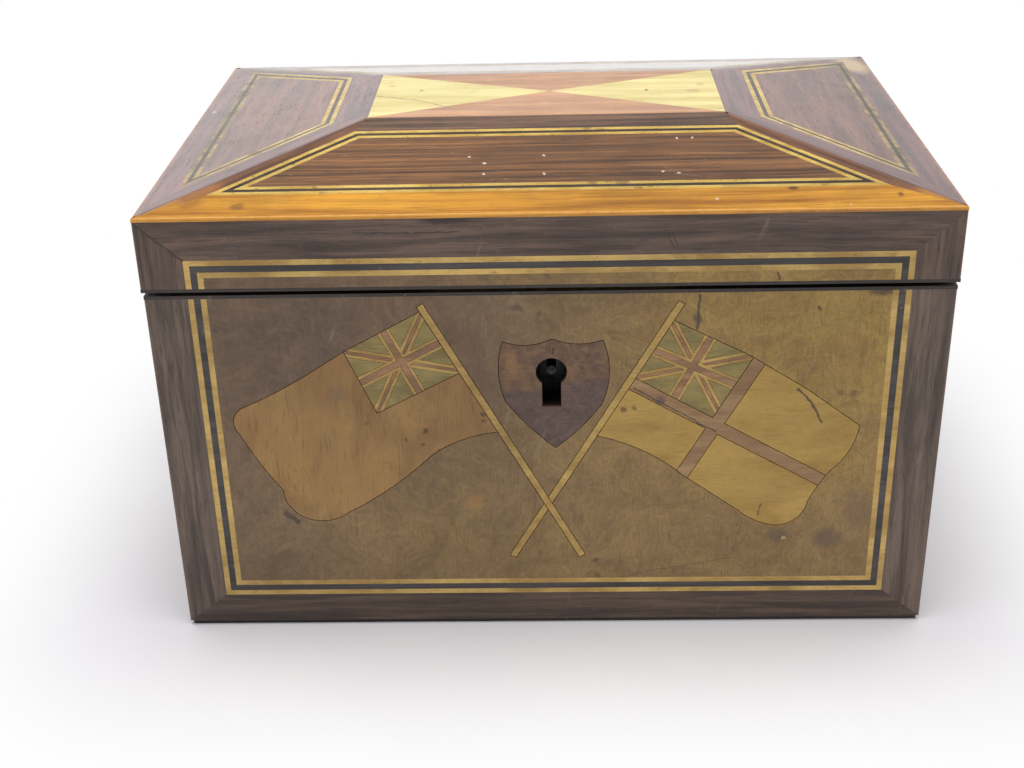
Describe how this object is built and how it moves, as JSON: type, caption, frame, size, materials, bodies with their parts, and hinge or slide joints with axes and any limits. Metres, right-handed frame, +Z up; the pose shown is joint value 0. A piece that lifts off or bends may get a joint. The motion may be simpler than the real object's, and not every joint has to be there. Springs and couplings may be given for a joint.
{
  "type": "inlaid box",
  "caption": "Hinged-lid tea caddy with a shallow hipped top, dark crossbanding, stringing, crossed flags in marquetry and a shield round the keyhole.",
  "frame": {"origin": "middle of the underside, on the surface that the box stands on", "axes": "+X to the right along the width as seen from the front, +Y to the back, +Z up"},
  "size_m": [0.203, 0.139, 0.1308],
  "materials": {
    "rosewood_banding": "polished dark rosewood, worn",
    "rosewood_veneer": "polished streaked rosewood",
    "burr_veneer": "polished burr veneer",
    "boxwood": "polished boxwood",
    "ebony": "polished ebony",
    "dark_edging": "polished dark wood",
    "green_stained_wood": "polished, stained green and faded",
    "red_stained_wood": "polished, stained red and faded",
    "left_field_wood": "polished plain light brown wood",
    "right_field_wood": "polished plain golden wood",
    "cross_wood": "polished red-brown wood",
    "shield_burr": "polished mottled burr",
    "satinwood": "polished pale satinwood",
    "brown_wood": "polished pinkish brown wood",
    "carcass_wood": "plain mahogany",
    "foil_lined_wood": "thin wood faced with dull grey foil",
    "tea_lid_wood": "polished rosewood",
    "turned_boxwood": "turned and polished boxwood",
    "lining_cloth": "dark red cotton velvet",
    "brass": "aged brass",
    "lock_steel": "dull steel"
  },
  "bodies": {
    "case": {"base_strip": "dark_edging", "canton_grounds": "green_stained_wood", "canton_light_bars": "boxwood", "canton_red_bars": "red_stained_wood", "case_back_board": "carcass_wood", "case_back_veneer": "rosewood_veneer", "case_bottom_board": "carcass_wood", "case_front_board": "carcass_wood", "case_left_board": "carcass_wood", "case_right_board": "carcass_wood", "case_rim_lipping": "dark_edging", "case_side_veneers": "rosewood_veneer", "flag_poles": "boxwood", "front_boxwood_stringing": "boxwood", "front_burr_panel": "burr_veneer", "front_crossbanding": "rosewood_banding", "front_ebony_stringing": "ebony", "hinge_case_leaves": "brass", "hinge_pins": "lock_steel", "left_flag_field": "left_field_wood", "left_tea_lining": "foil_lined_wood", "lock_case": "lock_steel", "lock_pin": "lock_steel", "lock_selvedge": "brass", "partition_board": "carcass_wood", "right_flag_cross": "cross_wood", "right_flag_field": "right_field_wood", "right_tea_lining": "foil_lined_wood", "shield_escutcheon": "shield_burr"},
    "lid": {"hinge_lid_leaves": "brass", "lid_back_rail": "carcass_wood", "lid_back_veneer": "rosewood_veneer", "lid_crown_board": "carcass_wood", "lid_front_boxwood_stringing": "boxwood", "lid_front_burr_strip": "burr_veneer", "lid_front_crossbanding": "rosewood_banding", "lid_front_ebony_stringing": "ebony", "lid_front_rail": "carcass_wood", "lid_left_rail": "carcass_wood", "lid_lining": "lining_cloth", "lid_right_rail": "carcass_wood", "lid_rim_lipping": "dark_edging", "lid_side_veneers": "rosewood_veneer", "lid_slope_banding": "rosewood_banding", "lid_slope_boxwood_stringing": "boxwood", "lid_slope_ebony_stringing": "ebony", "lid_slope_panels": "rosewood_veneer", "link_loops": "brass", "link_plate": "brass", "top_brown_triangles": "brown_wood", "top_satinwood_triangles": "satinwood"},
    "lock_bolt": {"lock_bolt": "lock_steel"},
    "left_tea_lid": {"left_tea_lid": "tea_lid_wood", "left_tea_lid_knob": "turned_boxwood"},
    "right_tea_lid": {"right_tea_lid": "tea_lid_wood", "right_tea_lid_knob": "turned_boxwood"}
  },
  "joints": [
    {"name": "lid_hinge", "type": "hinge", "parent": "case", "child": "lid", "pos_m": [0, 0.0665, 0.10065], "axis": [-1, 0, 0], "range_deg": [0, 100]},
    {"name": "lock_bolt_slide", "type": "slide", "parent": "case", "child": "lock_bolt", "axis": [1, 0, 0], "range_m": [0, 0.005]},
    {"name": "left_tea_lid_lift", "type": "slide", "parent": "case", "child": "left_tea_lid", "axis": [0, 0, 1], "range_m": [0, 0.008]},
    {"name": "right_tea_lid_lift", "type": "slide", "parent": "case", "child": "right_tea_lid", "axis": [0, 0, 1], "range_m": [0, 0.008]}
  ]
}
